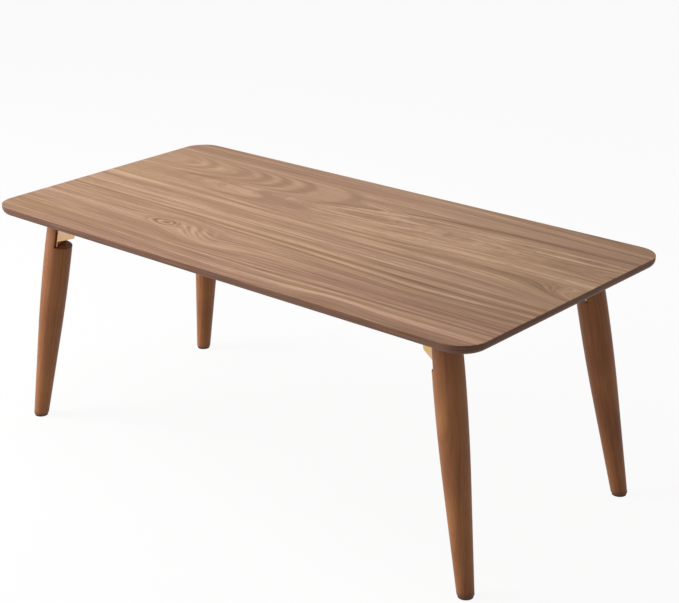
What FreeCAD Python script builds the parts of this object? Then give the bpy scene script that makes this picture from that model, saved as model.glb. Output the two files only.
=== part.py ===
import FreeCAD, Part
import math
import os

# Low table with a veneered top on four turned legs. Each leg folds on its own plated steel
# bracket, inwards under the top. Millimetres; the origin is on the floor under the middle
# of the top, X runs along the top, Y across it and Z up.

# Overall size
top_length = 1000.0
top_width = 500.0
table_height = 400.0

# Top: a core board between a face veneer and a backing sheet, with a rounded under edge
corner_radius = 43.0
veneer_thickness = 0.6
veneer_arris = 0.3
core_thickness = 15.0
backing_thickness = 0.4
under_edge_round = 11.0

# Leg: turned, leaning outwards and thickest a little below its head, set in from the top's
# ends and sides by the insets of the middle of its head
leg_end_inset = 93.8
leg_side_inset = 74.6
fold_direction = 23.0
leg_splay = 10.5
leg_head_radius = 21.3
belly_radius = 23.2
belly_drop = 78.0
shin_radius = 19.6
shin_drop = 233.0
foot_radius = 12.5
foot_edge_bevel = 0.8
pad_thickness = 3.0
pad_inset = 1.0
head_flat_length = 57.5
head_flat_offset = 2.0

# Running and seating gaps
seat_gap = 0.3
hinge_clearance = 0.06
ear_gap = 0.3
plate_gap = 0.4

# Hinge of the leg, measured from the middle of the leg head at the underside
pivot_inward = 14.7
pivot_drop = 19.5
pivot_radius = 3.0
pivot_head_radius = 5.0
pivot_head_height = 2.0
rivet_head_taper = 0.6

# Leg channel: bent sheet on the flat of the leg head, with two ears
channel_sheet = 1.6
channel_width = 36.0
channel_bend = 0.8
channel_head_gap = 1.2
channel_foot_gap = 0.5
channel_lip = 1.9
ear_nose_reach = 13.0
ear_nose_round = 4.0
ear_root_length = 44.0
ear_root_round = 2.0

# Base bracket: floor plate with two feet, and two ears that stand outside the channel
base_sheet = 2.0
base_outer_edge = 7.0
base_inner_edge = 47.0
foot_width = 12.0
foot_outer_edge = 9.5
foot_inner_edge = 39.0
plate_corner_round = 3.0
lug_radius = 9.0
lug_root_length = 19.0
ear_wall_height = 12.0
ear_corner_round = 1.5
ear_wall_round = 3.5

# Lock: a pin between the channel ears, and a sprung release lever on its own pin
lock_pin_radius = 2.0
lock_pin_orbit = 12.5
lock_pin_angle = -17.0
lever_pin_inward = 38.7
lever_pin_drop = 9.0
lever_pin_radius = 2.0
lever_pin_stand_out = 0.8
lever_sheet = 1.6
lever_width = 31.2
lever_eye_radius = 3.7
lever_nose_radius = 1.8
lever_nose_angle = -6.0
lever_nose_gap = 0.4
finger_reach = 15.8
finger_corner_round = 4.0
finger_hole_radius = 3.0
finger_hole_reach = 9.5
cheek_reach = 8.8
cheek_round = 1.9

# Leaf spring between the floor plate and the finger plate
leaf_thickness = 0.5
leaf_width = 10.0
leaf_start = 40.5
leaf_touch_reach = 12.6
leaf_gap = 0.1
leaf_lip = 1.5

# Wood screws, drawn with a few flat sides
screw_sides = 8
screw_head_radius = 3.6
screw_head_height = 2.0
screw_shank_radius = 1.75
base_screw_length = 12.0
leg_screw_length = 16.0
base_screw_inward = (15.0, 33.0)
leg_screw_head_gap = 12.0
leg_screw_foot_gap = 11.5

# What follows from the sizes above
underside = table_height - veneer_thickness - core_thickness - backing_thickness
leg_head_x = top_length / 2 - leg_end_inset
leg_head_y = top_width / 2 - leg_side_inset
splay_cos = math.cos(math.radians(leg_splay))
splay_sin = math.sin(math.radians(leg_splay))
leg_length = underside / splay_cos
ear_outer_face = channel_width / 2
base_ear_inner_face = ear_outer_face + ear_gap
base_ear_outer_face = base_ear_inner_face + base_sheet
ear_arc_radius = pivot_drop - base_sheet - plate_gap
base_screw_side = base_ear_outer_face + foot_width / 2
leg_screw_drop = (leg_screw_head_gap, head_flat_length - leg_screw_foot_gap)
pivot_from_flat = pivot_inward * splay_cos + pivot_drop * splay_sin
pivot_along_leg = pivot_drop * splay_cos - pivot_inward * splay_sin
lever_web_top = lever_eye_radius - lever_pin_drop

corners = {
    "front_left": (-1, -1),
    "front_right": (1, -1),
    "back_right": (1, 1),
    "back_left": (-1, 1),
}


def vector(x, y, z):
    """Point or direction in space."""
    return FreeCAD.Vector(x, y, z)


def in_plane(a, b, side=0.0):
    """Point of the bracket's side view: a inwards, b up, on the plane at this side."""
    return vector(a, side, b)


def rounded_slab(length, width, radius, low, high):
    """Slab round the Z axis, with its four upright corners rounded."""
    slab = Part.makeBox(length, width, high - low, vector(-length / 2, -width / 2, low))
    upright = []
    for edge in slab.Edges:
        if abs(edge.Vertexes[0].Z - edge.Vertexes[1].Z) > (high - low) / 2:
            upright.append(edge)
    return slab.makeFillet(radius, upright)


def belt(discs, width, side=0.0):
    """Plate whose outline is a belt pulled round discs, each (a, b, radius), listed
    counter-clockwise in the side view. Straight runs are tangent to the discs."""
    count = len(discs)
    normals = []
    for index in range(count):
        a1, b1, r1 = discs[index]
        a2, b2, r2 = discs[(index + 1) % count]
        run = math.hypot(a2 - a1, b2 - b1)
        turn = math.atan2(b2 - b1, a2 - a1) - math.acos((r1 - r2) / run)
        normals.append(turn)
    edges = []
    for index in range(count):
        a, b, r = discs[index]
        start = normals[index - 1]
        sweep = (normals[index] - start) % (2 * math.pi)
        first = in_plane(a + r * math.cos(start), b + r * math.sin(start), side)
        last = in_plane(a + r * math.cos(start + sweep), b + r * math.sin(start + sweep), side)
        if r > 0 and sweep > 0:
            half = start + sweep / 2
            middle = in_plane(a + r * math.cos(half), b + r * math.sin(half), side)
            edges.append(Part.Arc(first, middle, last).toShape())
        a2, b2, r2 = discs[(index + 1) % count]
        normal = normals[index]
        reached = in_plane(a2 + r2 * math.cos(normal), b2 + r2 * math.sin(normal), side)
        edges.append(Part.LineSegment(last, reached).toShape())
    face = Part.Face(Part.Wire(edges))
    return face.extrude(vector(0, width, 0))


def mid_belt(discs, width):
    """Belt plate centred on the bracket's middle plane."""
    return belt(discs, width, -width / 2)


def cross_bar(a, b, radius, length):
    """Round bar across the bracket, centred on its middle plane."""
    return Part.makeCylinder(radius, length, in_plane(a, b, -length / 2), vector(0, 1, 0))


def headed_pin(radius, grip, head_radius, head_height):
    """Rivet across the bracket: a shank as long as its grip, and a tapered head on each end."""
    half = grip / 2
    top_radius = rivet_head_taper * head_radius
    shank = Part.makeCylinder(radius, grip, vector(0, -half, 0), vector(0, 1, 0))
    near = Part.makeCone(
        head_radius, top_radius, head_height, vector(0, -half, 0), vector(0, -1, 0)
    )
    far = Part.makeCone(head_radius, top_radius, head_height, vector(0, half, 0), vector(0, 1, 0))
    return shank.fuse([near, far]).removeSplitter()


def prism(radius, low, high):
    """Bar round the Z axis with the screws' number of flat sides."""
    points = []
    for index in range(screw_sides + 1):
        angle = 2 * math.pi * index / screw_sides
        points.append(vector(radius * math.cos(angle), radius * math.sin(angle), low))
    return Part.Face(Part.makePolygon(points)).extrude(vector(0, 0, high - low))


def screw_shank(length):
    """Shank of a screw, from the underside of its head at the origin upwards."""
    return prism(screw_shank_radius, 0.0, length)


def wood_screw(length):
    """Screw with its axis on Z, the underside of its head at the origin and its shank up."""
    head = prism(screw_head_radius, -screw_head_height, 0.0)
    return head.fuse(screw_shank(length)).removeSplitter()


def lean(shape):
    """Turns a shape from the leg's own upright frame to the splayed leg, in place."""
    shape.rotate(vector(0, 0, 0), vector(0, 1, 0), leg_splay)
    return shape


def to_corner(shape, signs):
    """Copy of a shape from the bracket's frame, which starts at the middle of the leg head
    on the underside, at the corner with these signs of X and Y."""
    along = -signs[0] * math.cos(math.radians(fold_direction))
    across = -signs[1] * math.sin(math.radians(fold_direction))
    placed = shape.copy()
    placed.rotate(vector(0, 0, 0), vector(0, 0, 1), math.degrees(math.atan2(across, along)))
    placed.translate(vector(signs[0] * leg_head_x, signs[1] * leg_head_y, underside))
    return placed


def at_base_screws(shape):
    """Copies of a shape at the base bracket's screws, on the underside of its feet."""
    placed = []
    for inward in base_screw_inward:
        for side in (-base_screw_side, base_screw_side):
            copy = shape.copy()
            copy.translate(vector(inward, side, -base_sheet))
            placed.append(copy)
    return placed


def at_leg_screws(shape):
    """Copies of a shape at the channel's screws, on its web and pointing into the leg, in
    the leg's upright frame."""
    placed = []
    for drop in leg_screw_drop:
        copy = shape.copy()
        copy.rotate(vector(0, 0, 0), vector(0, 1, 0), -90)
        copy.translate(vector(head_flat_offset + channel_sheet, 0, -drop))
        placed.append(copy)
    return placed


def veneer():
    """Face veneer with a small arris all round its upper edge."""
    low = table_height - veneer_thickness
    sheet = rounded_slab(top_length, top_width, corner_radius, low, table_height)
    upper = []
    for edge in sheet.Edges:
        if min(vertex.Z for vertex in edge.Vertexes) > table_height - veneer_thickness / 2:
            upper.append(edge)
    return sheet.makeChamfer(veneer_arris, upper)


def top_screw_holes():
    """The holes of all the base screws in the top."""
    holes = []
    for signs in corners.values():
        for shank in at_base_screws(screw_shank(base_screw_length)):
            holes.append(to_corner(shank, signs))
    return holes


def core_board():
    """Core of the top: square upper edge, full quarter round under it, screw holes."""
    low = underside + backing_thickness
    high = low + core_thickness
    board = rounded_slab(top_length, top_width, corner_radius, low, high)
    lower = []
    for edge in board.Edges:
        if max(vertex.Z for vertex in edge.Vertexes) < low + core_thickness / 2:
            lower.append(edge)
    board = board.makeFillet(under_edge_round, lower)
    return board.cut(top_screw_holes())


def backing_sheet():
    """Stained sheet on the flat of the core's underside."""
    length = top_length - 2 * under_edge_round
    width = top_width - 2 * under_edge_round
    radius = corner_radius - under_edge_round
    high = underside + backing_thickness
    sheet = rounded_slab(length, width, radius, underside, high)
    return sheet.cut(top_screw_holes())


def belly_arc(radius, drop):
    """Arc of the leg's outline from its thickest place, where it runs along the leg, to the
    place with this radius at this distance below the head."""
    rise = belly_drop - drop
    fall = belly_radius - radius
    arc_radius = (rise ** 2 + fall ** 2) / (2 * fall)
    half = math.asin(rise / arc_radius) / 2
    middle_radius = belly_radius - arc_radius * (1 - math.cos(half))
    belly = vector(belly_radius, 0, -belly_drop)
    middle = vector(middle_radius, 0, arc_radius * math.sin(half) - belly_drop)
    return Part.Arc(belly, middle, vector(radius, 0, -drop)).toShape()


def leg_blank():
    """The turned leg before its head is cut: a taper from foot to shin, and an arc on each
    side of the belly, the longer one in two lengths. The blank is a little longer than the
    leg at both ends."""
    spare = leg_head_radius * math.tan(math.radians(leg_splay))
    foot_end = vector(foot_radius, 0, -leg_length - spare)
    shin = vector(shin_radius, 0, -shin_drop)
    head_end = vector(leg_head_radius, 0, spare)
    lower_arc = belly_arc(shin_radius, shin_drop)
    middle = (lower_arc.FirstParameter + lower_arc.LastParameter) / 2
    outline = lower_arc.split(middle).Edges + [
        Part.LineSegment(vector(0, 0, foot_end.z), foot_end).toShape(),
        Part.LineSegment(foot_end, shin).toShape(),
        belly_arc(leg_head_radius, -spare),
        Part.LineSegment(head_end, vector(0, 0, spare)).toShape(),
        Part.LineSegment(vector(0, 0, spare), vector(0, 0, foot_end.z)).toShape(),
    ]
    face = Part.Face(Part.Wire(Part.sortEdges(outline)[0]))
    return face.revolve(vector(0, 0, 0), vector(0, 0, 1), 360)


def leg():
    """Turned leg with a flat cut on the inner side of its head, and holes for the screws of
    its channel. A wide cone that stands on the pad trims head and foot level and bevels the
    foot's edge."""
    room = 4 * belly_radius
    notch_start = vector(head_flat_offset, -room / 2, -head_flat_length)
    notch = Part.makeBox(room, room, room + head_flat_length, notch_start)
    wood = lean(leg_blank().cut([notch] + at_leg_screws(screw_shank(leg_screw_length))))
    height = underside - seat_gap - pad_thickness
    end_radius = foot_radius - foot_edge_bevel
    trim = Part.makeCone(end_radius, end_radius + height, height, foot_centre(pad_thickness))
    return wood.common(trim)


def foot_centre(height):
    """Middle of the leg at this height above the floor."""
    drop = (underside - height) / splay_cos
    return vector(-drop * splay_sin, 0, -drop * splay_cos)


def foot_pad():
    """Pad under the foot, level with the floor."""
    middle = foot_centre(pad_thickness) - vector(0, 0, pad_thickness)
    return Part.makeCylinder(foot_radius - pad_inset, pad_thickness, middle)


def channel_section(high):
    """Bent sheet of the leg channel as a straight length, in the leg's upright frame."""
    outside = channel_bend + channel_sheet
    reach = high - head_flat_offset
    start = vector(head_flat_offset, -channel_width / 2, channel_foot_gap - head_flat_length)
    length = head_flat_length - channel_foot_gap - channel_head_gap
    outer = Part.makeBox(reach, channel_width, length, start)
    inner_start = start + vector(channel_sheet, channel_sheet, 0)
    inner = Part.makeBox(reach, channel_width - 2 * channel_sheet, length, inner_start)
    bent = []
    for solid, radius in ((outer, outside), (inner, channel_bend)):
        root = []
        for edge in solid.Edges:
            upright = edge.BoundBox.ZLength > length / 2
            if upright and edge.BoundBox.XMin < head_flat_offset + reach / 2:
                root.append(edge)
        bent.append(solid.makeFillet(radius, root))
    return bent[0].cut(bent[1])


def leg_channel():
    """Pressed channel on the flat of the leg head. Its ears are round about the hinge, so
    that they pass under the floor plate, and run on as low lips beside the flat."""
    high = pivot_from_flat + ear_arc_radius
    sheet = channel_section(high + channel_sheet)
    nose = (
        high - ear_nose_round,
        -pivot_along_leg - ear_nose_reach,
        ear_nose_round,
    )
    root_inner = head_flat_offset + channel_sheet + ear_root_round
    root = (root_inner, ear_root_round - ear_root_length - channel_sheet, ear_root_round)
    outline = [
        (head_flat_offset - channel_sheet, 0.0, 0.0),
        (head_flat_offset - channel_sheet, -ear_root_length, 0.0),
        root,
        nose,
        (pivot_from_flat, -pivot_along_leg, ear_arc_radius),
    ]
    ears = mid_belt(outline, channel_width)
    lip_height = channel_sheet + channel_lip
    lip = Part.makeBox(
        lip_height,
        channel_width,
        head_flat_length,
        vector(head_flat_offset, -channel_width / 2, -head_flat_length),
    )
    channel = sheet.common(ears.fuse(lip))
    channel = lean(channel.cut(at_leg_screws(screw_shank(leg_screw_length))))
    hinge_hole = cross_bar(pivot_inward, -pivot_drop, pivot_radius + hinge_clearance, channel_width)
    lock_a, lock_b = lock_pin_centre()
    lock_hole = cross_bar(lock_a, lock_b, lock_pin_radius, channel_width)
    return channel.cut([hinge_hole, lock_hole]).removeSplitter()


def lock_pin_centre():
    """Lock pin in the side view, on its orbit about the hinge."""
    angle = math.radians(lock_pin_angle)
    a = pivot_inward + lock_pin_orbit * math.cos(angle)
    b = lock_pin_orbit * math.sin(angle) - pivot_drop
    return a, b


def lever_nose_centre():
    """Nose of the lever in the side view, just clear of the lock pin's orbit."""
    reach = lock_pin_orbit + lock_pin_radius + lever_nose_gap + lever_nose_radius
    angle = math.radians(lever_nose_angle)
    return pivot_inward + reach * math.cos(angle), reach * math.sin(angle) - pivot_drop


def lock_pin():
    """Pin riveted flush in the channel ears, which the lever's nose catches."""
    a, b = lock_pin_centre()
    return cross_bar(a, b, lock_pin_radius, channel_width)


def pivot_rivet():
    """Rivet that the leg turns on, held tight in the base ears."""
    rivet = headed_pin(pivot_radius, 2 * base_ear_outer_face, pivot_head_radius, pivot_head_height)
    rivet.translate(in_plane(pivot_inward, -pivot_drop))
    return rivet


def lever_pin():
    """Pin that the release lever turns on, peened a little outside the base ears."""
    length = 2 * (base_ear_outer_face + lever_pin_stand_out)
    return cross_bar(lever_pin_inward, -lever_pin_drop, lever_pin_radius, length)


def floor_plate():
    """Floor plate of the base bracket: a strip between the ears, and a foot on each side,
    with rounded corners and screw holes."""
    strip_length = base_inner_edge - base_outer_edge
    strip_width = 2 * base_ear_outer_face
    feet_length = foot_inner_edge - foot_outer_edge
    feet_width = strip_width + 2 * foot_width
    strip_corner = vector(base_outer_edge, -base_ear_outer_face, -base_sheet)
    strip = Part.makeBox(strip_length, strip_width, base_sheet, strip_corner)
    feet = rounded_slab(feet_length, feet_width, plate_corner_round, -base_sheet, 0.0)
    feet.translate(vector((foot_inner_edge + foot_outer_edge) / 2, 0, 0))
    return strip.fuse(feet).cut(at_base_screws(screw_shank(base_screw_length)))


def base_ear(side):
    """One ear of the base bracket: a lug round the hinge, and a low wall that runs on to
    the lever's pin."""
    low_corner = -ear_corner_round
    outer = (base_outer_edge + ear_corner_round, low_corner, ear_corner_round)
    inner = (base_inner_edge - 2 * ear_corner_round, low_corner, ear_corner_round)
    lug_root = (base_outer_edge + lug_root_length, low_corner, ear_corner_round)
    lug = belt([(pivot_inward, -pivot_drop, lug_radius), lug_root, outer], base_sheet, side)
    wall_foot = (
        base_outer_edge + ear_wall_round,
        ear_wall_round - ear_wall_height,
        ear_wall_round,
    )
    lever_eye = (lever_pin_inward, -lever_pin_drop, lever_eye_radius + base_sheet)
    wall = belt([wall_foot, lever_eye, inner, outer], base_sheet, side)
    return lug.fuse(wall)


def base_bracket():
    """Pressed and welded base: floor plate and two ears, bored for both rivets."""
    near = base_ear(-base_ear_outer_face)
    far = base_ear(base_ear_inner_face)
    bracket = floor_plate().fuse([near, far])
    bores = [
        cross_bar(pivot_inward, -pivot_drop, pivot_radius, 2 * base_ear_outer_face),
        cross_bar(lever_pin_inward, -lever_pin_drop, lever_pin_radius, 2 * base_ear_outer_face),
    ]
    return bracket.cut(bores).removeSplitter()


def finger_plate():
    """Web of the release lever, with rounded corners and a hole at the finger."""
    start = lever_pin_inward - lever_eye_radius / 2
    end = lever_pin_inward + finger_reach
    low = lever_web_top - lever_sheet
    plate = Part.makeBox(end - start, lever_width, lever_sheet, vector(start, -lever_width / 2, low))
    free_corners = []
    for edge in plate.Edges:
        if edge.BoundBox.ZLength > lever_sheet / 2 and edge.BoundBox.XMin > lever_pin_inward:
            free_corners.append(edge)
    plate = plate.makeFillet(finger_corner_round, free_corners)
    hole_place = vector(lever_pin_inward + finger_hole_reach, 0, low - lever_sheet)
    return plate.cut(Part.makeCylinder(finger_hole_radius, 3 * lever_sheet, hole_place))


def release_lever():
    """Pressed lever: a finger plate, and two cheeks with an eye for the pin and a nose that
    drops behind the lock pin."""
    eye = (lever_pin_inward, -lever_pin_drop, lever_eye_radius)
    nose_a, nose_b = lever_nose_centre()
    nose = (nose_a, nose_b, lever_nose_radius)
    tail = (lever_pin_inward + cheek_reach, lever_web_top - cheek_round, cheek_round)
    lever = finger_plate()
    for side in (-lever_width / 2, lever_width / 2 - lever_sheet):
        arm = belt([nose, eye], lever_sheet, side)
        wing = belt([eye, tail], lever_sheet, side)
        lever = lever.fuse([arm, wing])
    bore = cross_bar(
        lever_pin_inward, -lever_pin_drop, lever_pin_radius + hinge_clearance, lever_width
    )
    return lever.cut(bore).removeSplitter()


def lever_spring():
    """Leaf spring fixed under the floor plate. Its arm slopes down to the finger plate and
    pushes it away from the top, and ends in a turned-up lip."""
    touch = lever_pin_inward + leaf_touch_reach
    upper = -base_sheet
    reached = lever_web_top + leaf_gap + leaf_thickness
    slope = math.atan2(upper - reached, touch - base_inner_edge)
    shift = leaf_thickness * math.tan(slope / 2)
    top_line = [
        (leaf_start, upper),
        (base_inner_edge, upper),
        (touch, reached),
        (touch + leaf_lip, reached + leaf_lip / 2),
    ]
    low_line = [
        (touch + leaf_lip, reached + leaf_lip / 2 - leaf_thickness),
        (touch, reached - leaf_thickness),
        (base_inner_edge - shift, upper - leaf_thickness),
        (leaf_start, upper - leaf_thickness),
    ]
    points = [in_plane(a, b, -leaf_width / 2) for a, b in top_line + low_line]
    outline = Part.makePolygon(points + points[:1])
    return Part.Face(outline).extrude(vector(0, leaf_width, 0))


def base_screws():
    """The screws of one base bracket, through its feet into the top."""
    return Part.makeCompound(at_base_screws(wood_screw(base_screw_length)))


def leg_screws():
    """The screws of one leg channel, through its web into the leg."""
    return lean(Part.makeCompound(at_leg_screws(wood_screw(leg_screw_length))))


def export(name, shape):
    """Writes one sub-part."""
    shape.exportStep("parts/" + name + ".step")


os.makedirs("parts", exist_ok=True)

export("top_veneer", veneer())
export("top_board", core_board())
export("backing_sheet", backing_sheet())

corner_parts = {
    "leg": leg(),
    "foot_pad": foot_pad(),
    "leg_channel": leg_channel(),
    "leg_screws": leg_screws(),
    "lock_pin": lock_pin(),
    "base_bracket": base_bracket(),
    "base_screws": base_screws(),
    "pivot_rivet": pivot_rivet(),
    "lever_pin": lever_pin(),
    "release_lever": release_lever(),
    "lever_spring": lever_spring(),
}
for corner, signs in corners.items():
    for part, shape in corner_parts.items():
        export(part + "_" + corner, to_corner(shape, signs))
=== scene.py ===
"""The looks of a low folding table: a walnut-veneered top on four turned legs, which fold
under it on plated steel brackets."""

import math

import bpy
import numpy as np
from mathutils import Matrix, Vector


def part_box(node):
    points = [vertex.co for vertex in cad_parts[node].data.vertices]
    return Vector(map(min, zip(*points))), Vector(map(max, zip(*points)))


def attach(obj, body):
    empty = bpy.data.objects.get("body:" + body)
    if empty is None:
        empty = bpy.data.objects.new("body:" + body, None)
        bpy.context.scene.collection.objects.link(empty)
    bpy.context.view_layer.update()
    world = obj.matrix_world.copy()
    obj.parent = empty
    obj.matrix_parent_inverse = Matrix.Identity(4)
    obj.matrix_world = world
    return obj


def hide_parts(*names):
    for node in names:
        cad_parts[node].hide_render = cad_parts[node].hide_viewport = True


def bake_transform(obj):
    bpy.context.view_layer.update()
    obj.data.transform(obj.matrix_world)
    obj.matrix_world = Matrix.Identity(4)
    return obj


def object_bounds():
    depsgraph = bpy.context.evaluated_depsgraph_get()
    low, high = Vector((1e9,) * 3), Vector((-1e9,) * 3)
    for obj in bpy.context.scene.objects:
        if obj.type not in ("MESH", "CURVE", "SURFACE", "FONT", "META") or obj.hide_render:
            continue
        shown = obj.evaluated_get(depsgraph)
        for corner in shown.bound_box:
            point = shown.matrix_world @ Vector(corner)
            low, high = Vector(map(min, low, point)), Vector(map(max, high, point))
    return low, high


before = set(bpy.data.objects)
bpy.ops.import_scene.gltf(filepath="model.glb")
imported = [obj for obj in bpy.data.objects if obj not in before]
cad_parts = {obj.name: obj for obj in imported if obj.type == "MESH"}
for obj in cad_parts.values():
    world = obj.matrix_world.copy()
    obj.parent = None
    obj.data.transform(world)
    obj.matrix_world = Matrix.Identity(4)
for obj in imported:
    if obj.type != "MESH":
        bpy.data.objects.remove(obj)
cad_low, cad_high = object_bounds()


# The veneered face
# Crown-cut walnut veneer, 0.6 mm, pressed on the board with its grain along the table, sanded
# and sprayed with satin lacquer. The eye sees a soft sheen, a little duller on the dark bands,
# and the pores as short dark dashes.

def linear(code):
    """An sRGB hex colour as linear red, green and blue, with full cover."""
    parts = [int(code[i:i + 2], 16) / 255 for i in (1, 3, 5)]
    return [c / 12.92 if c <= 0.04045 else ((c + 0.055) / 1.055) ** 2.4 for c in parts] + [1.0]


def add(tree, kind, inputs=(), stops=(), **settings):
    """One node: its settings, the stops of a colour ramp or the points of a curve with the two ends
    first, and its inputs as values or as links from nodes or sockets."""
    node = tree.nodes.new("ShaderNode" + kind)
    for name, value in settings.items():
        setattr(node, name, value)
    for place, (at, value) in enumerate(stops):
        if kind == "ValToRGB":
            ramp = node.color_ramp.elements
            stop = ramp[place] if place < 2 else ramp.new(at)
            stop.position = at
            stop.color = linear(value)
        else:
            line = node.mapping.curves[0].points
            stop = line[place] if place < 2 else line.new(at, value)
            stop.location = (at, value)
    for name, value in dict(inputs).items():
        if isinstance(value, bpy.types.Node):
            value = value.outputs[0]
        if isinstance(value, bpy.types.NodeSocket):
            tree.links.new(value, node.inputs[name])
        else:
            node.inputs[name].default_value = value
    return node


def new_finish(name, **constants):
    """An empty material with one Principled shader, whose own sockets hold what is the same all over."""
    material = bpy.data.materials.new(name)
    material.use_nodes = True
    tree = material.node_tree
    tree.nodes.clear()
    shader = add(tree, "BsdfPrincipled", {k.replace("_", " "): v for k, v in constants.items()})
    add(tree, "OutputMaterial", {"Surface": shader})
    return material, tree, shader


def feed(target, **sources):
    """Links nodes to the sockets of a shader or an output. An underscore in a name stands for a space."""
    for name, node in sources.items():
        target.id_data.links.new(node.outputs[0], target.inputs[name.replace("_", " ")])


def dress(node, material):
    """Gives a CAD node its finish, in every one of its slots."""
    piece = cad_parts[node]
    for place in piece.material_slots:
        place.material = material


# The figure is a height field whose level lines are the grain, so that it runs round the knot
# and opens into tongues as cut wood does. Its swellings, in mm: where each lies, how far it
# reaches along and across the table, and its height. Lines crowd where the height changes fast.
figure = [
    (-575, 155, 375, 42, -145),
    (-550, 65, 450, 28, -9),
    (500, 160, 360, 35, -85),
    (560, 225, 160, 18, 43),
    (-55, 200, 205, 50, -15),
    (570, -8, 95, 22, 44),
    (580, -105, 450, 85, 22),
    (-193, -137, 16, 6, 16),
    (-180, -115, 40, 18, -18),
    (-80, -163, 50, 18, 22),
    (320, -115, 110, 20, 12),
    (250, -235, 45, 20, -14),
    (80, 32, 340, 65, 20),
    (32, -208, 170, 62, 13),
    (295, 78, 255, 45, -22),
]
# The growth bands from the front edge to the back: the level of each in mm, and how light it
# is at the left and at the right end of the table.
bands = [
    (-250, 0.45, 0.45), (-235, 0.40, 0.40), (-218, 0.40, 0.45), (-210, 0.50, 0.75), (-195, 0.35, 0.40),
    (-186, 0.40, 0.65), (-177, 0.50, 0.40), (-160, 0.50, 0.45), (-152, 0.45, 0.40), (-125, 0.60, 0.45),
    (-106, 0.50, 0.45), (-98, 0.55, 0.55), (-82, 0.45, 0.40), (-74, 0.60, 0.70), (-66, 0.45, 0.40),
    (-58, 0.60, 0.60), (-42, 0.50, 0.50), (-28, 0.60, 0.60), (-4, 0.50, 0.45), (7, 0.50, 0.45),
    (18, 0.65, 0.60), (30, 0.45, 0.50), (38, 0.60, 0.50), (52, 0.50, 0.70), (62, 0.50, 0.55),
    (70, 0.55, 0.50), (84, 0.45, 0.45), (106, 0.55, 0.50), (125, 0.45, 0.55), (150, 0.35, 0.50),
    (176, 0.35, 0.50), (190, 0.40, 0.35), (200, 0.40, 0.40), (214, 0.45, 0.65), (230, 0.40, 0.45),
    (245, 0.50, 0.40), (262, 0.50, 0.50),
]

veneer, tree, shader = new_finish("walnut_veneer_satin_lacquer", Roughness=0.5, IOR=1.5,
                                  Specular_IOR_Level=0.27)
where = add(tree, "TexCoord").outputs["Object"]
mm = add(tree, "Mapping", {"Vector": where, "Scale": (1000, 1000, 1000)})
axes = add(tree, "SeparateXYZ", {0: mm})
x_mm, y_mm = axes.outputs["X"], axes.outputs["Y"]
grain = y_mm
for x, y, along, across, height in figure:
    from_middle = add(tree, "VectorMath",
                      {0: mm, 1: (1 / along, 1 / across, 0), 2: (-x / along, -y / across, 0)},
                      operation="MULTIPLY_ADD")
    square = add(tree, "VectorMath", {0: from_middle, 1: from_middle}, operation="DOT_PRODUCT")
    halved = add(tree, "Math", {0: square.outputs["Value"], 1: -0.5}, operation="MULTIPLY")
    swelling = add(tree, "Math", {0: halved}, operation="EXPONENT")
    grain = add(tree, "Math", {0: swelling, 1: height, 2: grain}, operation="MULTIPLY_ADD")
# the lines also sway, in long waves and in short ripples: their length, width and sway in mm
for length, width, sway in ((420, 70, 5), (90, 16, 2.2)):
    at = add(tree, "VectorMath", {0: mm, 1: (1 / length, 1 / width, 0)}, operation="MULTIPLY")
    wave = add(tree, "TexNoise", {"Vector": at, "Scale": 1, "Detail": 1.5}, noise_dimensions="2D")
    ripple = add(tree, "Math", {0: wave, 1: 0.5}, operation="SUBTRACT")
    grain = add(tree, "Math", {0: ripple, 1: sway, 2: grain}, operation="MULTIPLY_ADD")

# the broad bands, darker and lighter by their own level, and drifting from one end to the other
first, last = bands[0][0], bands[-1][0]
drift_reach = 300
level = add(tree, "MapRange", {"Value": grain, "From Min": first, "From Max": last})
ends = []
for end in (1, 2):
    steps = [((band[0] - first) / (last - first), band[end]) for band in bands]
    ends.append(add(tree, "FloatCurve", {"Value": level}, stops=[steps[0], steps[-1]] + steps[1:-1]))
rightward = add(tree, "MapRange", {"Value": x_mm, "From Min": -drift_reach, "From Max": drift_reach},
                interpolation_type="SMOOTHSTEP")
tone = add(tree, "Mix", {"Factor": rightward, "A": ends[0], "B": ends[1]})


def grain_noise(level, length, width, detail, seed):
    """Noise stretched along the lines of a level: its cells are length by width, in mm."""
    along = add(tree, "Math", {0: x_mm, 1: 1 / length}, operation="MULTIPLY")
    across = add(tree, "Math", {0: level, 1: 1 / width}, operation="MULTIPLY")
    at = add(tree, "CombineXYZ", {"X": along, "Y": across, "Z": seed})
    return add(tree, "TexNoise", {"Vector": at, "Scale": 1, "Detail": detail, "Roughness": 0.6})


arch_ripple = 5
wavy_y = add(tree, "Math", {0: ripple, 1: arch_ripple, 2: y_mm}, operation="MULTIPLY_ADD")


def arch_level(axis_y, width, steepness):
    """Level of arches that point right: x + steepness (exp(((y - axis) / width)^2) - 1), in mm. The
    square is held at 6, past which no arch shows."""
    off_axis = add(tree, "Math", {0: wavy_y, 1: axis_y}, operation="SUBTRACT")
    share = add(tree, "Math", {0: off_axis, 1: width}, operation="DIVIDE")
    square = add(tree, "Math", {0: share, 1: share}, operation="MULTIPLY")
    square = add(tree, "Math", {0: square, 1: 6}, operation="MINIMUM")
    rise = add(tree, "Math", {0: square}, operation="EXPONENT")
    level = add(tree, "Math", {0: rise, 1: steepness, 2: x_mm}, operation="MULTIPLY_ADD")
    return add(tree, "Math", {0: level, 1: -steepness}, operation="ADD"), off_axis


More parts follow.
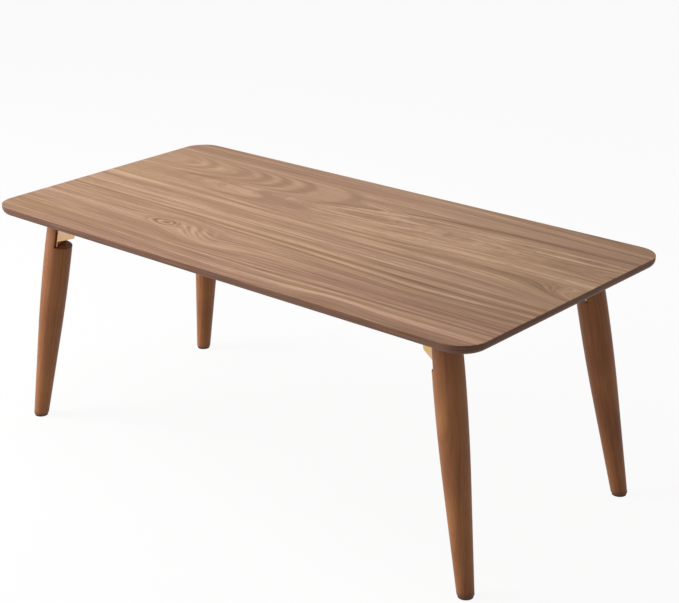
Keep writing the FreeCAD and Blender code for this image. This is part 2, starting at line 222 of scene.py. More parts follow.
# the cathedral at the left: seven nested arches, and under it one light tongue in a dark wedge. For
# each: its axis, width and steepness, how far from the axis and up to which level it fades, and how
# light it is at each level, with the two ends first.
arch_start, arch_end, arch_share = -440, 20, 0.85
calm = 0.0
arch_width = add(tree, "MapRange",
                 {"Value": x_mm, "From Min": -300, "From Max": -40, "To Min": 24, "To Max": 37})
for axis_y, width, steepness, reach, ends_at, tones in (
    (145, arch_width, 14, (44, 56), (-30, 6),
     [(arch_start, 0.5), (arch_end, 0.5), (-408, 0.44), (-392, 0.58), (-372, 0.35), (-345, 0.58),
      (-310, 0.5), (-287, 0.37), (-262, 0.58), (-240, 0.31), (-215, 0.61), (-195, 0.32), (-168, 0.63),
      (-137, 0.31), (-118, 0.56), (-60, 0.58), (-38, 0.36), (-18, 0.45)]),
    (66, 13, 10, (22, 32), (-80, -40),
     [(arch_start, 0.52), (arch_end, 0.5), (-300, 0.57), (-195, 0.64), (-176, 0.56), (-160, 0.37),
      (-110, 0.4), (-76, 0.38), (-60, 0.47)]),
):
    arches, off_axis = arch_level(axis_y, width, steepness)
    span = add(tree, "MapRange", {"Value": arches, "From Min": arch_start, "From Max": arch_end})
    shade = add(tree, "FloatCurve", {"Value": span},
                stops=[((at - arch_start) / (arch_end - arch_start), value) for at, value in tones])
    away = add(tree, "Math", {0: off_axis}, operation="ABSOLUTE")
    within = add(tree, "MapRange", {"Value": away, "From Min": reach[1], "From Max": reach[0]},
                 interpolation_type="SMOOTHSTEP")
    behind = add(tree, "MapRange", {"Value": arches, "From Min": ends_at[1], "From Max": ends_at[0]},
                 interpolation_type="SMOOTHSTEP")
    share = add(tree, "Math", {0: within, 1: behind}, operation="MULTIPLY")
    share = add(tree, "Math", {0: share, 1: arch_share}, operation="MULTIPLY")
    tone = add(tree, "Mix", {"Factor": share, "A": tone, "B": shade})
    calm = add(tree, "Math", {0: share, 1: calm}, operation="MAXIMUM")

# one dark line climbs from the cathedral toward the back right, at
# foot + rise / (1 + exp(-(x - middle) / run)), and fine lines run in front of it
climb_foot, climb_rise, climb_middle, climb_run = 96, 77, 20, 75
slope = add(tree, "Math", {0: x_mm, 1: -1 / climb_run, 2: climb_middle / climb_run},
            operation="MULTIPLY_ADD")
slope = add(tree, "Math", {0: slope}, operation="EXPONENT")
slope = add(tree, "Math", {0: slope, 1: 1}, operation="ADD")
climb = add(tree, "Math", {0: climb_rise, 1: slope}, operation="DIVIDE")
above = add(tree, "Math", {0: y_mm, 1: climb}, operation="SUBTRACT")
above = add(tree, "Math", {0: above, 1: -climb_foot}, operation="ADD")
line = add(tree, "MapRange", {"Value": above, "From Min": -30, "From Max": 30})
line = add(tree, "FloatCurve", {"Value": line},
           stops=[(0, 0), (1, 0), (0.38, 0), (0.45, 0.14), (0.49, 0.95), (0.52, 0.95), (0.57, 0.3),
                  (0.68, 0)])
fades = add(tree, "MapRange", {"Value": x_mm, "From Min": -240, "From Max": 90, "To Max": 0.26})
dark = add(tree, "Math", {0: line, 1: fades}, operation="MULTIPLY")
tone = add(tree, "Math", {0: tone, 1: dark}, operation="SUBTRACT")
beside = grain_noise(above, length=500, width=5.5, detail=1.5, seed=4.2)
beside = add(tree, "Math", {0: beside, 1: 0.5}, operation="SUBTRACT")
below = add(tree, "MapRange", {"Value": above, "From Min": -80, "From Max": -45, "To Max": 0.75})
near = add(tree, "MapRange", {"Value": above, "From Min": 4, "From Max": -6, "To Max": 1})
share = add(tree, "Math", {0: below, 1: near}, operation="MULTIPLY")
there = add(tree, "MapRange", {"Value": x_mm, "From Min": -60, "From Max": 120})
share = add(tree, "Math", {0: share, 1: there}, operation="MULTIPLY")
tone = add(tree, "Math", {0: beside, 1: share, 2: tone}, operation="MULTIPLY_ADD")

# the knot: rings round its heart, drawn out along the grain, 1.2 times to the right and 2.6 times
# to the left, by (|x| uneven + x) squeezed
knot_x, knot_y, knot_reach = -193, -131, 26
uneven, squeezed = 0.36, 0.6
to_knot = add(tree, "VectorMath", {0: mm, 1: (-knot_x, -knot_y, 0)}, operation="ADD")
to_knot = add(tree, "SeparateXYZ", {0: to_knot})
past_heart = to_knot.outputs["X"]
drawn_out = add(tree, "Math", {0: past_heart}, operation="ABSOLUTE")
drawn_out = add(tree, "Math", {0: drawn_out, 1: uneven, 2: past_heart}, operation="MULTIPLY_ADD")
drawn_out = add(tree, "Math", {0: drawn_out, 1: squeezed}, operation="MULTIPLY")
rings = add(tree, "CombineXYZ", {"X": drawn_out, "Y": to_knot.outputs["Y"]})
radius = add(tree, "VectorMath", {0: rings}, operation="LENGTH").outputs["Value"]
span = add(tree, "MapRange", {"Value": radius, "From Max": knot_reach})
shade = add(tree, "FloatCurve", {"Value": span},
            stops=[(0, 0.12), (1, 0.5), (0.13, 0.24), (0.27, 0.74), (0.38, 0.26), (0.46, 0.3),
                   (0.58, 0.68), (0.7, 0.4), (0.82, 0.56)])
share = add(tree, "MapRange", {"Value": radius, "From Min": 24, "From Max": 14, "To Max": 0.9})
tone = add(tree, "Mix", {"Factor": share, "A": tone, "B": shade})
# curls trail off to the right of the knot, slanting across the grain
curl_slant, curl_ripple, curl_spacing = 0.85, 14, 25
trail_x, trail_y, trail_length, trail_width = -128, -128, 60, 22
slant = add(tree, "Math", {0: y_mm, 1: curl_slant, 2: x_mm}, operation="MULTIPLY_ADD")
slant = add(tree, "Math", {0: ripple, 1: curl_ripple, 2: slant}, operation="MULTIPLY_ADD")
curls = add(tree, "Math", {0: slant, 1: 2 * math.pi / curl_spacing}, operation="MULTIPLY")
curls = add(tree, "Math", {0: curls}, operation="SINE")
trail = add(tree, "VectorMath", {0: mm, 1: (1 / trail_length, 1 / trail_width, 0),
                                 2: (-trail_x / trail_length, -trail_y / trail_width, 0)},
            operation="MULTIPLY_ADD")
trail = add(tree, "VectorMath", {0: trail}, operation="LENGTH").outputs["Value"]
share = add(tree, "MapRange", {"Value": trail, "From Min": 1, "From Max": 0.3, "To Max": 0.12})
tone = add(tree, "Math", {0: curls, 1: share, 2: tone}, operation="MULTIPLY_ADD")

# lines, and fibres drawn 2 mm wide, coarser than real ones, so that they show; both are fainter
# among the arches
arch_calm = 0.75
lines = grain_noise(grain, length=600, width=6.5, detail=2.0, seed=8.7)
fibre = grain_noise(grain, length=120, width=2.0, detail=2.5, seed=5.3)
for noise, share in ((lines, 0.85), (fibre, 1.05)):
    centred = add(tree, "Math", {0: noise, 1: 0.5}, operation="SUBTRACT")
    share = add(tree, "Math", {0: calm, 1: -arch_calm * share, 2: share}, operation="MULTIPLY_ADD")
    tone = add(tree, "Math", {0: centred, 1: share, 2: tone}, operation="MULTIPLY_ADD")
# the edge of a leaf of veneer, where two thin dark lines run side by side
edge_start, edge_end, edge_dark = -76, -56, 0.2
past_edge = add(tree, "MapRange", {"Value": grain, "From Min": edge_start, "From Max": edge_end})
leaf_edge = add(tree, "FloatCurve", {"Value": past_edge},
                stops=[(0, 0), (1, 0), (0.2, 0.05), (0.35, 0.7), (0.46, 0.1), (0.58, 1), (0.7, 0.1),
                       (0.82, 0)])
tone = add(tree, "Math", {0: leaf_edge, 1: -edge_dark, 2: tone}, operation="MULTIPLY_ADD")
# painted shade: the whole face is set a little darker in tone, and toward the right end it is
# painted darker still, as shade where less lamp light falls
darker_tone_and_painted_right_shade = add(tree, "MapRange",
                {"Value": x_mm, "From Min": 60, "From Max": 520, "To Min": -0.03, "To Max": -0.17})
tone = add(tree, "Math", {0: tone, 1: darker_tone_and_painted_right_shade}, operation="ADD")
wood = add(tree, "ValToRGB", {0: tone},
           stops=[(0.02, "#7A573E"), (0.88, "#D0AA8A"), (0.2, "#916C50"), (0.38, "#A17B5E"),
                  (0.5, "#AD8668"), (0.62, "#BB9373")])
# walnut leans to purple in some broad streaks and to olive in others
hue = grain_noise(grain, length=420, width=38, detail=1.0, seed=21.6)
tint = add(tree, "ValToRGB", {0: hue}, stops=[(0.34, "#FFF9FE"), (0.66, "#FEFFF5"), (0.5, "#FFFFFF")])
wood = add(tree, "MixRGB", {"Fac": 1.0, "Color1": wood, "Color2": tint}, blend_type="MULTIPLY")
# walnut's pores are 0.2 mm wide; they are drawn 1 mm wide and 14 mm long so that they show
pores = grain_noise(grain, length=14, width=1.0, detail=0.5, seed=12.4)
pore_share = add(tree, "MapRange", {"Value": pores, "From Min": 0.6, "From Max": 0.75, "To Max": 0.4})
wood = add(tree, "MixRGB", {"Fac": pore_share, "Color1": wood, "Color2": linear("#7E5C45")})
dull = add(tree, "MapRange",
           {"Value": tone, "From Min": 0.3, "From Max": 0.7, "To Min": 0.56, "To Max": 0.46})
relief = add(tree, "Math", {0: pore_share, 1: -0.6, 2: fibre}, operation="MULTIPLY_ADD")
bump = add(tree, "Bump", {"Height": relief, "Strength": 0.25, "Distance": 0.0003})
feed(shader, Base_Color=wood, Roughness=dull, Normal=bump)
dress("top_veneer", veneer)


# The board and its edge
# A 15 mm core board whose sides are stained dark brown and lacquered. Sanding leaves long
# streaks level round the edge, and the arrises catch a little light.

# the streaks are drawn 1.1 mm wide, coarser than real ones, so that they show
streak_length, streak_width, cloud_size = 111, 1.11, 71.4
board, tree, shader = new_finish("stained_board_edge_satin", Roughness=0.52, IOR=1.5, Specular_IOR_Level=0.2)
where = add(tree, "TexCoord").outputs["Object"]
streak_at = add(tree, "VectorMath",
                {0: where, 1: (1000 / streak_length, 1000 / streak_length, 1000 / streak_width)},
                operation="MULTIPLY")
streaks = add(tree, "TexNoise", {"Vector": streak_at, "Scale": 1, "Detail": 3})
cloud = add(tree, "TexNoise", {"Vector": where, "Scale": 1000 / cloud_size, "Detail": 2})
tone = add(tree, "Math", {0: streaks, 1: 0.7}, operation="MULTIPLY")
tone = add(tree, "Math", {0: cloud, 1: 0.3, 2: tone}, operation="MULTIPLY_ADD")
stain = add(tree, "ValToRGB", {0: tone}, stops=[(0.36, "#5E4233"), (0.64, "#8C664F"), (0.5, "#755241")])
soft_edge = add(tree, "Bevel", {"Radius": 0.0008}, samples=6)
bump = add(tree, "Bump", {"Height": streaks, "Strength": 0.2, "Distance": 0.0002, "Normal": soft_edge})
feed(shader, Base_Color=stain, Normal=bump)
dress("top_board", board)


# The underside
# A plain orange-brown stained sheet closes the board from below. Its print is calm, with
# faint straight grain along the table.

# length and width in mm, the fine grain coarser than a real one so that it shows
broad_grain, fine_grain = (455, 9.09), (33.3, 1.11)
under, tree, shader = new_finish("stained_backing_sheet_satin", Roughness=0.5, IOR=1.5,
                                 Specular_IOR_Level=0.3)
where = add(tree, "TexCoord").outputs["Object"]
broad_at = add(tree, "VectorMath", {0: where, 1: (1000 / broad_grain[0], 1000 / broad_grain[1], 1)},
               operation="MULTIPLY")
broad = add(tree, "TexNoise", {"Vector": broad_at, "Scale": 1, "Detail": 4, "Roughness": 0.6})
fine_at = add(tree, "VectorMath", {0: where, 1: (1000 / fine_grain[0], 1000 / fine_grain[1], 1)},
              operation="MULTIPLY")
fine = add(tree, "TexNoise", {"Vector": fine_at, "Scale": 1, "Detail": 2})
tone = add(tree, "Math", {0: broad, 1: 0.7}, operation="MULTIPLY")
tone = add(tree, "Math", {0: fine, 1: 0.3, 2: tone}, operation="MULTIPLY_ADD")
stain = add(tree, "ValToRGB", {0: tone}, stops=[(0.32, "#875731"), (0.68, "#A17048"), (0.5, "#94633B")])
bump = add(tree, "Bump", {"Height": fine, "Strength": 0.15, "Distance": 0.0002})
feed(shader, Base_Color=stain, Normal=bump)
dress("backing_sheet", under)


# The brackets and levers
# Base bracket, leg channel and release lever are pressed from mild steel sheet and plated
# yellow: bright gold that drifts to copper pink where the plating's film is thicker, which is
# the pair at the left end.

corners = {"front_left": (-1, -1), "front_right": (1, -1), "back_right": (1, 1), "back_left": (-1, 1)}

# patches and marks in mm, and how the film's thickness changes per metre to the right
film_patch, film_drift, handling_mark = 29.4, -0.24, 5.26
plated, tree, shader = new_finish("pressed_steel_yellow_plating", Metallic=1.0, Roughness=0.3)
where = add(tree, "TexCoord").outputs["Object"]
film = add(tree, "TexNoise", {"Vector": where, "Scale": 1000 / film_patch, "Detail": 2.5,
                              "Roughness": 0.6, "Distortion": 0.6})
side = add(tree, "SeparateXYZ", {0: where}).outputs["X"]
film = add(tree, "Math", {0: side, 1: film_drift, 2: film}, operation="MULTIPLY_ADD")
colour = add(tree, "ValToRGB", {0: film},
             stops=[(0.28, "#D2B25C"), (0.74, "#DDB9B4"), (0.48, "#DAB46A"), (0.61, "#DAB09D")])
handled = add(tree, "TexNoise", {"Vector": where, "Scale": 1000 / handling_mark, "Detail": 3})
tarnish = add(tree, "MapRange", {"Value": handled, "From Min": 0.4, "From Max": 0.75, "To Max": 0.25})
colour = add(tree, "MixRGB", {"Fac": tarnish, "Color1": colour, "Color2": linear("#B99263")})
rough = add(tree, "MapRange",
            {"Value": handled, "From Min": 0.3, "From Max": 0.7, "To Min": 0.2, "To Max": 0.38})
soft_edge = add(tree, "Bevel", {"Radius": 0.0004}, samples=6)
bump = add(tree, "Bump", {"Height": handled, "Strength": 0.12, "Distance": 0.0001, "Normal": soft_edge})
feed(shader, Base_Color=colour, Roughness=rough, Normal=bump)
for corner in corners:
    for node in ("base_bracket", "leg_channel", "release_lever"):
        dress(f"{node}_{corner}", plated)


# The wood screws
# Round-head wood screws with a cross recess and a rolled thread, plated like the brackets, so
# that the heads glint as small gold spots. Four hold each base bracket to the board and two
# hold each channel to its leg.

leg_end_inset, leg_side_inset = 93.8, 74.6
leg_head_x = cad_high[0] * 1000 - leg_end_inset
leg_head_y = cad_high[1] * 1000 - leg_side_inset
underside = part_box("backing_sheet")[0].z * 1000
leg_splay, fold_direction = math.radians(10.5), math.radians(23)


def leg_head(corner):
    """The middle of a corner's leg head, level with the underside of the top, in mm."""
    side_x, side_y = corners[corner]
    return np.array([side_x * leg_head_x, side_y * leg_head_y, underside])


def fold_turn(corner):
    """The angle about z that turns x to the way in which a corner's leg folds."""
    side_x, side_y = corners[corner]
    return math.atan2(-side_y * math.sin(fold_direction), -side_x * math.cos(fold_direction))


def to_corner(points, corner, leaning=False):
    """Points in mm from the middle of a leg head, x the way in which the leg folds, as places in metres.
    Leaning ones are tilted with the leg first."""
    spin = Matrix.Rotation(fold_turn(corner), 3, "Z")
    if leaning:
        spin = spin @ Matrix.Rotation(leg_splay, 3, "Y")
    return (points @ np.array(spin).T + leg_head(corner)) / 1000


sharp_bend = math.radians(38)


def closed_piece(name, node, shapes, material, body=None):
    """One piece from closed shapes, in a node's place: each shape is rows by columns of points, closed
    round the columns, and its first and last rows are single points, so that fans close the ends."""
    points, faces, start = [], [], 0
    for shape in shapes:
        rows, columns = shape.shape[:2]
        index = np.arange(rows * columns).reshape(rows, columns)
        index = np.maximum(index - (columns - 1), 0)
        index[-1] = index[-2, -1] + 1
        index += start
        here, after = index[1:-2], index[2:-1]
        quads = np.stack([here, after, np.roll(after, -1, 1), np.roll(here, -1, 1)], -1).reshape(-1, 4)
        top = np.stack([index[0], index[1], np.roll(index[1], -1)], -1)
        tip = np.stack([index[-1], np.roll(index[-2], -1), index[-2]], -1)
        faces += quads.tolist() + top.tolist() + tip.tolist()
        points.append(np.concatenate([shape[0, :1], shape[1:-1].reshape(-1, 3), shape[-1, :1]]))
        start += len(points[-1])
    mesh = bpy.data.meshes.new(name)
    mesh.from_pydata(np.concatenate(points).tolist(), [], faces)
    mesh.shade_smooth()
    mesh.set_sharp_from_angle(angle=sharp_bend)
    mesh.materials.append(material)
    piece = bpy.data.objects.new(name, mesh)
    bpy.context.scene.collection.objects.link(piece)
    if body:
        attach(piece, body)
    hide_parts(node)
    return piece


# sizes in mm; the rim is a share of the head's height, and its taper a share of the radius
screw_head_radius, screw_head_height, screw_rim, rim_taper = 3.6, 2.0, 0.22, 0.99
screw_shank_radius, thread_pitch, thread_depth = 1.75, 1.4, 0.45
shank_start, thread_start, thread_stop, point_length = 0.05, 2.0, 3.0, 3.5
tip_radius, tip_length = 0.5, 0.6
slot_reach, slot_half_width, slot_depth = 1.9, 0.62, 1.05
slot_end_slope, slot_side_slope, slot_taper = 0.5, 0.3, 0.1
crown_rows, shank_rows, screw_columns = 13, 36, 48


def screw_shape(length, turn):
    """A screw with its axis along z and the head's underside at zero: a crowned head whose height falls
    as an ellipse, less the two crossed slots, then a shank whose radius goes in and out along a helix,
    then a point. The thread starts at a distance from the head and stops at one from the tip."""
    angle = np.linspace(0, 2 * np.pi, screw_columns, endpoint=False)[None, :]
    crown = np.sin(np.linspace(0, np.pi / 2, crown_rows))
    crown_z = screw_head_height * (screw_rim + (1 - screw_rim) * np.sqrt(1 - crown ** 2))
    shank_z = -np.linspace(shank_start, length - point_length, shank_rows)
    head_r = screw_head_radius * np.append(crown, rim_taper)
    rows_r = np.concatenate([head_r, np.full(shank_rows + 1, screw_shank_radius), [tip_radius, 0]])
    rows_z = np.concatenate([crown_z, [0, 0], shank_z, [tip_length - length, -length]])
    r = rows_r[:, None] + 0 * angle
    z = rows_z[:, None] + 0 * angle
    threaded = ((rows_z < -thread_start) & (rows_z > thread_stop - length))[:, None]
    wave = np.abs(((z / thread_pitch - angle / (2 * np.pi)) % 1.0) * 2 - 1)
    r = r - threaded * thread_depth * wave
    u, v = r * np.cos(angle - turn), r * np.sin(angle - turn)
    slots = [np.clip((slot_reach - np.abs(a)) / slot_end_slope, 0, 1)
             * np.clip((slot_half_width - slot_taper * np.abs(a) - np.abs(b)) / slot_side_slope, 0, 1)
             for a, b in ((u, v), (v, u))]
    on_head = (rows_z > 0)[:, None]
    z = z - np.maximum(*slots) * on_head * slot_depth
    return np.stack([r * np.cos(angle), r * np.sin(angle), z], -1)


def marked_steel(name, mark, detail, colours, gloss):
    """A steel finish whose colour and roughness each drift between two values, over marks of this size
    in mm. It also gives the marks, for the relief."""
    material, tree, shader = new_finish(name, Metallic=1.0, Roughness=sum(gloss) / 2)
    where = add(tree, "TexCoord").outputs["Object"]
    marks = add(tree, "TexNoise", {"Vector": where, "Scale": 1000 / mark, "Detail": detail})
    colour = add(tree, "ValToRGB", {0: marks}, stops=[(0.35, colours[0]), (0.65, colours[1])])
    rough = add(tree, "MapRange", {"Value": marks, "From Min": 0.3, "From Max": 0.7,
                                   "To Min": gloss[0], "To Max": gloss[1]})
    feed(shader, Base_Color=colour, Roughness=rough)
    return material, tree, shader, marks


screw_steel, tree, shader, marks = marked_steel("screw_steel_yellow_plating", mark=4.17, detail=2,
                                                colours=("#C9B070", "#E2BC84"), gloss=(0.22, 0.36))
feed(shader, Normal=add(tree, "Bump", {"Height": marks, "Strength": 0.1, "Distance": 0.0001}))

base_sheet, base_ear_outer_face, foot_width = 2.0, 20.3, 12.0
base_screw_length, base_screw_inward = 12.0, (15.0, 33.0)
base_screw_side = base_ear_outer_face + foot_width / 2
leg_screw_length, leg_screw_drop, channel_web_face = 16.0, (12.0, 46.0), 3.6

chance = np.random.default_rng(7)
for corner in corners:
    shapes = []
    for inward in base_screw_inward:
        for side in (-base_screw_side, base_screw_side):
            shape = screw_shape(base_screw_length, chance.uniform(0, np.pi)) * [1, -1, -1]
            shapes.append(to_corner(shape + [inward, side, -base_sheet], corner))
    closed_piece(f"cross_recess_base_screws_{corner}", f"base_screws_{corner}", shapes, screw_steel,
                 "top")
    shapes = []
    for drop in leg_screw_drop:
        shape = screw_shape(leg_screw_length, chance.uniform(0, np.pi))[..., [2, 1, 0]] * [1, -1, 1]
        shapes.append(to_corner(shape + [channel_web_face, 0, -drop], corner, leaning=True))
    closed_piece(f"cross_recess_leg_screws_{corner}", f"leg_screws_{corner}", shapes, screw_steel,
                 f"leg_{corner}")


# The pivot rivets and the pins
# The leg turns on a solid steel rivet, plated with its bracket, whose heads are spun over to
# low domes. The lock pin and the lever's pin are drawn steel rod, left bright, which the eye
# sees as cool grey beside the gold.

bright, tree, shader, _ = marked_steel("drawn_steel_bright", mark=3.03, detail=3,
                                       colours=("#A8A49D", "#C9C6BF"), gloss=(0.18, 0.36))
feed(shader, Normal=add(tree, "Bevel", {"Radius": 0.0003}, samples=6))

# sizes in mm from the leg head; the rim is a share of the rivet head's height
pivot_inward, pivot_drop = 14.7, 19.5
rivet_head_radius, rivet_head_height, rivet_rim = 5.0, 2.0, 0.25
rivet_shank_radius, dome_power = 3.0, 0.8
dome_rows, rivet_columns = 9, 40


def rivet_shape():
    """A rivet along y, over the ears: the height of each head falls as a power of the cosine, near an
    ellipse, to a short straight rim."""
    angle = np.linspace(0, 2 * np.pi, rivet_columns, endpoint=False)[None, :]
    swing = np.linspace(0, np.pi / 2, dome_rows)
    dome_r = rivet_head_radius * np.sin(swing)
    dome_y = rivet_head_height * (rivet_rim + (1 - rivet_rim) * np.cos(swing) ** dome_power)
    half_r = np.concatenate([dome_r, [rivet_head_radius, rivet_shank_radius]])
    half_y = base_ear_outer_face + np.concatenate([dome_y, [0, 0]])
    rows_r = np.concatenate([half_r, half_r[::-1]])[:, None]
    rows_y = np.concatenate([half_y, -half_y[::-1]])[:, None]
    return np.stack([rows_r * np.sin(angle), rows_y + 0 * angle, rows_r * np.cos(angle)], -1)


for corner in corners:
    shape = to_corner(rivet_shape() + [pivot_inward, 0, -pivot_drop], corner)
    closed_piece(f"domed_pivot_rivet_{corner}", f"pivot_rivet_{corner}", [shape], plated,
                 "top")
    dress(f"lock_pin_{corner}", bright)
    dress(f"lever_pin_{corner}", bright)


# The leaf springs
# A strip of tempered spring steel under each lever, bent twice, left dull grey from the
# furnace. Its root is fixed under the floor plate.

tempered, tree, shader, marks = marked_steel("tempered_spring_strip", mark=3.57, detail=3,
                                             colours=("#6E6C6C", "#908D8A"), gloss=(0.32, 0.5))
feed(shader, Normal=add(tree, "Bump", {"Height": marks, "Strength": 0.1, "Distance": 0.0001}))

# the strip's middle line, seen from the side: inward from the leg head and up from the underside
leaf_path = np.array([(40.5, -2.25), (47.0, -2.25), (51.3, -4.95), (52.8, -4.2)])
leaf_half_width, leaf_half_thickness = 5.0, 0.25
leaf_rows, leaf_columns, leaf_easings = 46, 20, 3
leaf_edge_power, leaf_face_power = 0.2, 0.6


def leaf_shape():
    """A strip along the bent path, whose bends are eased by averaging neighbours. Its cross-section is a
    superellipse: half width times a power of the cosine, and half thickness times a power of the sine."""
    steps = np.linspace(0, len(leaf_path) - 1, leaf_rows)
    line = np.stack([np.interp(steps, range(len(leaf_path)), leaf_path[:, k]) for k in (0, 1)], 1)
    for _ in range(leaf_easings):
        line[1:-1] = (line[:-2] + line[1:-1] + line[2:]) / 3
    ahead = np.gradient(line, axis=0)
    ahead /= np.linalg.norm(ahead, axis=1)[:, None]
    angle = np.linspace(0, 2 * np.pi, leaf_columns, endpoint=False)
    side = -leaf_half_width * np.sign(np.cos(angle)) * np.abs(np.cos(angle)) ** leaf_edge_power
    rise = leaf_half_thickness * np.sign(np.sin(angle)) * np.abs(np.sin(angle)) ** leaf_face_power
    rows = np.empty((leaf_rows, leaf_columns, 3))
    rows[..., 0] = line[:, :1] - ahead[:, 1:] * rise
    rows[..., 1] = side
    rows[..., 2] = line[:, 1:] + ahead[:, :1] * rise
    middles = np.stack([line[:, 0], 0 * line[:, 0], line[:, 1]], 1)[[0, -1], None] + 0 * rows[:1]
    return np.concatenate([middles[:1], rows, middles[1:]])


for corner in corners:
    shape = to_corner(leaf_shape(), corner)
    leaf = closed_piece(f"bent_leaf_spring_{corner}", f"lever_spring_{corner}", [shape], tempered)
    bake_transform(leaf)


# The turned legs
# Each leg is turned from one straight-grained hardwood blank, stained reddish brown and
# lacquered satin. The eye sees soft streaks that follow the leg's own leaning axis, and no two
# legs are alike.

# The length and width of each pattern in mm, with fibres coarser than real ones so that they
# show. The growth layers sway, run slowly out of the leg and are tilted another way in each
# blank, and the last 9 mm of the foot are painted darker, as shade at the foot's end.
sway_length, sway_width, sway_height = 150, 45, 14
growth_length, growth_width, run_out = 380, 4.2, 0.012
fibre_length, fibre_width = 28, 1.1
patch_length, patch_width = 110, 60
first_tilt, next_tilt = 37, 70
foot_shade_end, foot_shade_start = -388, -379

for number, corner in enumerate(corners):
    stained, tree, shader = new_finish(f"turned_hardwood_stained_{corner}", Roughness=0.46, IOR=1.5,
                                       Specular_IOR_Level=0.27)
    where = add(tree, "TexCoord").outputs["Object"]
    mm = add(tree, "Mapping", {"Vector": where, "Location": leg_head(corner) / 1000,
                               "Rotation": (0, leg_splay, fold_turn(corner)),
                               "Scale": (0.001, 0.001, 0.001)}, vector_type="TEXTURE")
    sway_at = add(tree, "VectorMath", {0: mm, 1: (1 / sway_width, 1 / sway_width, 1 / sway_length)},
                  operation="MULTIPLY")
    sway = add(tree, "TexNoise", {"Vector": sway_at, "W": number * 3.7, "Scale": 1, "Detail": 1.5},
               noise_dimensions="4D")
    tilt = math.radians(first_tilt + next_tilt * number)
    layer = add(tree, "VectorMath", {0: mm, 1: (math.cos(tilt), math.sin(tilt), run_out)},
                operation="DOT_PRODUCT").outputs["Value"]
    layer = add(tree, "Math", {0: sway, 1: sway_height, 2: layer}, operation="MULTIPLY_ADD")
    height = add(tree, "SeparateXYZ", {0: mm}).outputs["Z"]
    along = add(tree, "Math", {0: height, 1: 1 / growth_length}, operation="MULTIPLY")
    across = add(tree, "Math", {0: layer, 1: 1 / growth_width}, operation="MULTIPLY")
    at = add(tree, "CombineXYZ", {"X": across, "Y": along, "Z": number * 5.1})
    growth = add(tree, "TexNoise", {"Vector": at, "Scale": 1, "Detail": 2.5, "Roughness": 0.6})
    fibre_at = add(tree, "VectorMath", {0: mm, 1: (1 / fibre_width, 1 / fibre_width, 1 / fibre_length)},
                   operation="MULTIPLY")
    fibre = add(tree, "TexNoise", {"Vector": fibre_at, "W": number * 2.3, "Scale": 1, "Detail": 2},
                noise_dimensions="4D")
    patch_at = add(tree, "VectorMath", {0: mm, 1: (1 / patch_width, 1 / patch_width, 1 / patch_length)},
                   operation="MULTIPLY")
    patch = add(tree, "TexNoise", {"Vector": patch_at, "W": 9 + number, "Scale": 1, "Detail": 1},
                noise_dimensions="4D")
    tone = add(tree, "Math", {0: growth, 1: 0.36}, operation="MULTIPLY")
    tone = add(tree, "Math", {0: fibre, 1: 0.24, 2: tone}, operation="MULTIPLY_ADD")
    tone = add(tree, "Math", {0: patch, 1: 0.4, 2: tone}, operation="MULTIPLY_ADD")
    stain = add(tree, "ValToRGB", {0: tone},
                stops=[(0.34, "#7D4B2D"), (0.66, "#AC7346"), (0.45, "#905A36"), (0.55, "#9F683F")])
    # painted shade: the last 9 mm of the foot are drawn darker, as the foot's end in shadow
    painted_foot_shade = add(tree, "MapRange", {"Value": height, "From Min": foot_shade_end, "From Max": foot_shade_start,
                                       "To Min": 0.55, "To Max": 0}, interpolation_type="SMOOTHSTEP")
    stain = add(tree, "MixRGB", {"Fac": painted_foot_shade, "Color1": stain, "Color2": linear("#4A2E20")})
    rough = add(tree, "MapRange",
                {"Value": growth, "From Min": 0.3, "From Max": 0.7, "To Min": 0.42, "To Max": 0.54})
    soft_edge = add(tree, "Bevel", {"Radius": 0.0006}, samples=6)
    bump = add(tree, "Bump", {"Height": fibre, "Strength": 0.18, "Distance": 0.0002, "Normal": soft_edge})
    feed(shader, Base_Color=stain, Roughness=rough, Normal=bump)
    dress(f"leg_{corner}", stained)


# The foot pads
# A round pad of moulded dark brown plastic is pressed under each foot. Its mould was
# spark-textured, which scatters the light.

# real spark texture is about 0.1 mm; it is drawn coarser so that it shows
grit_size, smear_size = 0.77, 8.33
moulded, tree, shader = new_finish("moulded_plastic_pad_dark_brown", Roughness=0.6, IOR=1.49)
where = add(tree, "TexCoord").outputs["Object"]
grit = add(tree, "TexNoise", {"Vector": where, "Scale": 1000 / grit_size, "Detail": 2})
smears = add(tree, "TexNoise", {"Vector": where, "Scale": 1000 / smear_size, "Detail": 2})
colour = add(tree, "ValToRGB", {0: smears}, stops=[(0.35, "#2A211D"), (0.65, "#3A2F29")])
rough = add(tree, "MapRange",
            {"Value": smears, "From Min": 0.3, "From Max": 0.7, "To Min": 0.5, "To Max": 0.68})
bump = add(tree, "Bump", {"Height": grit, "Strength": 0.3, "Distance": 0.0002})
feed(shader, Base_Color=colour, Roughness=rough, Normal=bump)
for corner in corners:
    dress(f"foot_pad_{corner}", moulded)


# The room
# A plain white floor under soft light from the left, with a weaker lamp above. The camera
# looks down a little on the table from beyond its front right corner.

floor_reach = 9.0
floor_mesh = bpy.data.meshes.new("floor")
floor_corners = [(x * floor_reach, y * floor_reach, 0) for x, y in ((-1, -1), (1, -1), (1, 1), (-1, 1))]
floor_mesh.from_pydata(floor_corners, [], [(0, 1, 2, 3)])
floor = bpy.data.objects.new("floor", floor_mesh)
bpy.context.scene.collection.objects.link(floor)


def looked_at(tree):
    """One where the camera, a reflection or glass looks at a surface, and zero for light from it."""
    rays = add(tree, "LightPath").outputs
    seen = add(tree, "Math", {0: rays["Is Camera Ray"], 1: rays["Is Glossy Ray"]}, operation="MAXIMUM")
    return add(tree, "Math", {0: seen, 1: rays["Is Transmission Ray"]}, operation="MAXIMUM")


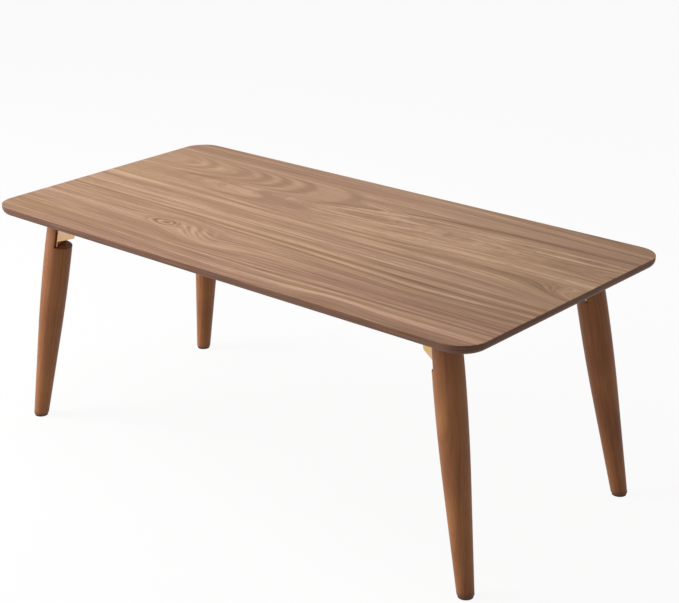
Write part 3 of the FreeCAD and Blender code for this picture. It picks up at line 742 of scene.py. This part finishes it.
mottle_size, glow_share = 333, 0.92
paper, tree, shader = new_finish("matt_white_backdrop_paper", Roughness=0.9, IOR=1.45, Specular_IOR_Level=0.1)
where = add(tree, "TexCoord").outputs["Object"]
mottle = add(tree, "TexNoise", {"Vector": where, "Scale": 1000 / mottle_size, "Detail": 2})
dim = add(tree, "ValToRGB", {0: mottle}, stops=[(0.3, "#C2C1BF"), (0.7, "#CAC9C7")])
# the eye sees white paper, and a little less light comes back from it to the table
camera_ray = add(tree, "LightPath").outputs["Is Camera Ray"]
seen_white = add(tree, "MixRGB", {"Fac": camera_ray, "Color1": dim, "Color2": linear("#F8F8F7")})
feed(shader, Base_Color=seen_white)
glow = add(tree, "Emission", {"Color": linear("#FFFFFF"), "Strength": 1.0})
seen = add(tree, "Math", {0: looked_at(tree), 1: glow_share}, operation="MULTIPLY")
shown = add(tree, "MixShader", {0: seen, 1: shader, 2: glow})
feed(next(node for node in tree.nodes if node.type == "OUTPUT_MATERIAL"), Surface=shown)
floor_mesh.materials.append(paper)

world = bpy.data.worlds.new("white_room")
bpy.context.scene.world = world
world.use_nodes = True
tree = world.node_tree
tree.nodes.clear()
fill = add(tree, "Background", {"Color": linear("#FFFFFF"), "Strength": 0.33})
# as bright as the floor far off, so that no line shows where the floor ends
white = add(tree, "Background", {"Color": linear("#F9F9F9"), "Strength": 1.0})
shown = add(tree, "MixShader", {0: looked_at(tree), 1: fill, 2: white})
add(tree, "OutputWorld", {"Surface": shown})


def softbox(name, place, target, size, watts):
    """A square lamp at place that faces target."""
    lamp = bpy.data.lights.new(name, "AREA")
    lamp.size = size
    lamp.energy = watts
    thing = bpy.data.objects.new(name, lamp)
    thing.location = place
    thing.rotation_mode = "QUATERNION"
    thing.rotation_quaternion = (Vector(place) - Vector(target)).to_track_quat("Z", "Y")
    bpy.context.scene.collection.objects.link(thing)


softbox("left_softbox", (-2.5, -2.0, 1.35), (0, 0, 0.25), size=1.7, watts=112)
softbox("top_softbox", (-0.45, -0.3, 1.9), (-0.1, 0, 0.4), size=1.2, watts=10.7)

# The picture's size, the lens's focal length and the point that it faces, in pixels, then which
# way the camera looks, and how far it stands right, up and back from the middle of the floor.
picture = (679, 603)
focal_pixels = 1602.14
centre_pixel = (303.587, 304.756)
azimuth, elevation, roll = (math.radians(a) for a in (42.531, 21.140, -0.962))
offset = np.array([-0.016811, 0.24808, 2.70906])

level = np.array([math.cos(azimuth), math.sin(azimuth), 0])
away = np.array([math.sin(azimuth), -math.cos(azimuth), 0])
back = math.cos(elevation) * away + [0, 0, math.sin(elevation)]
upward = np.cross(back, level)
right = math.cos(roll) * level + math.sin(roll) * upward
up = math.cos(roll) * upward - math.sin(roll) * level
pose = np.eye(4)
pose[:3, :3] = np.stack([right, up, back], 1)
pose[:3, 3] = pose[:3, :3] @ offset

lens = bpy.data.cameras.new("camera")
lens.sensor_width = 36
lens.lens = focal_pixels / picture[0] * lens.sensor_width
lens.shift_x = (picture[0] / 2 - centre_pixel[0]) / picture[0]
lens.shift_y = (centre_pixel[1] - picture[1] / 2) / picture[0]
lens.clip_start, lens.clip_end = 0.05, 60
camera = bpy.data.objects.new("camera", lens)
camera.matrix_world = Matrix(pose.tolist())
bpy.context.scene.collection.objects.link(camera)
bpy.context.scene.camera = camera
bpy.context.scene.view_settings.view_transform = "Standard"
